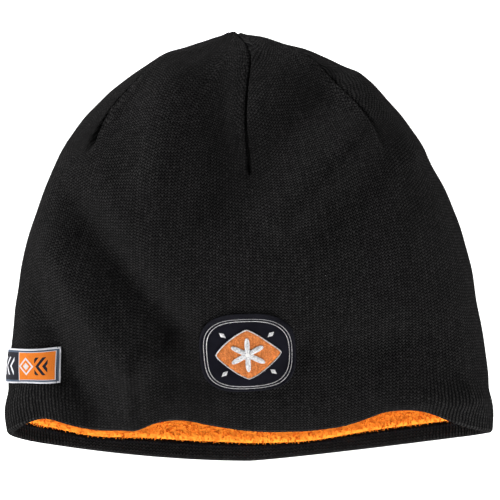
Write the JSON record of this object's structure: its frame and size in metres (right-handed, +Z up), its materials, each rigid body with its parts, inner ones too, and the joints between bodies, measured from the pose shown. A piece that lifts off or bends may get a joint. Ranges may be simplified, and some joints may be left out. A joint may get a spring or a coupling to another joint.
{
  "type": "knit cap",
  "caption": "Close-fitting fine-knit cap with a fleece lining, crown darts, an embroidered patch on the front and a woven label folded round one side, lying on its back.",
  "frame": {"origin": "on the surface that the cap lies on, under the middle of its bounding box", "axes": "+X towards the cap's right side as it is seen from above with the crown away from the viewer, +Y from the mouth towards the crown, +Z up, from the back of the cap towards its front"},
  "size_m": [0.2394, 0.209, 0.0759],
  "materials": {
    "knit": "fine weft knit, matt black",
    "fleece": "brushed pile, bright orange",
    "patch_twill": "black twill with an overlocked edge",
    "patch_orange_thread": "satin stitch, orange",
    "patch_white_thread": "satin stitch, white",
    "woven_label": "damask weave, orange and black with a grey edge"
  },
  "bodies": {
    "root": {"knit_shell": "knit", "fleece_lining": "fleece", "front_patch": "patch_twill", "patch_field": "patch_orange_thread", "patch_star": "patch_white_thread", "side_label": "woven_label"}
  },
  "joints": []
}
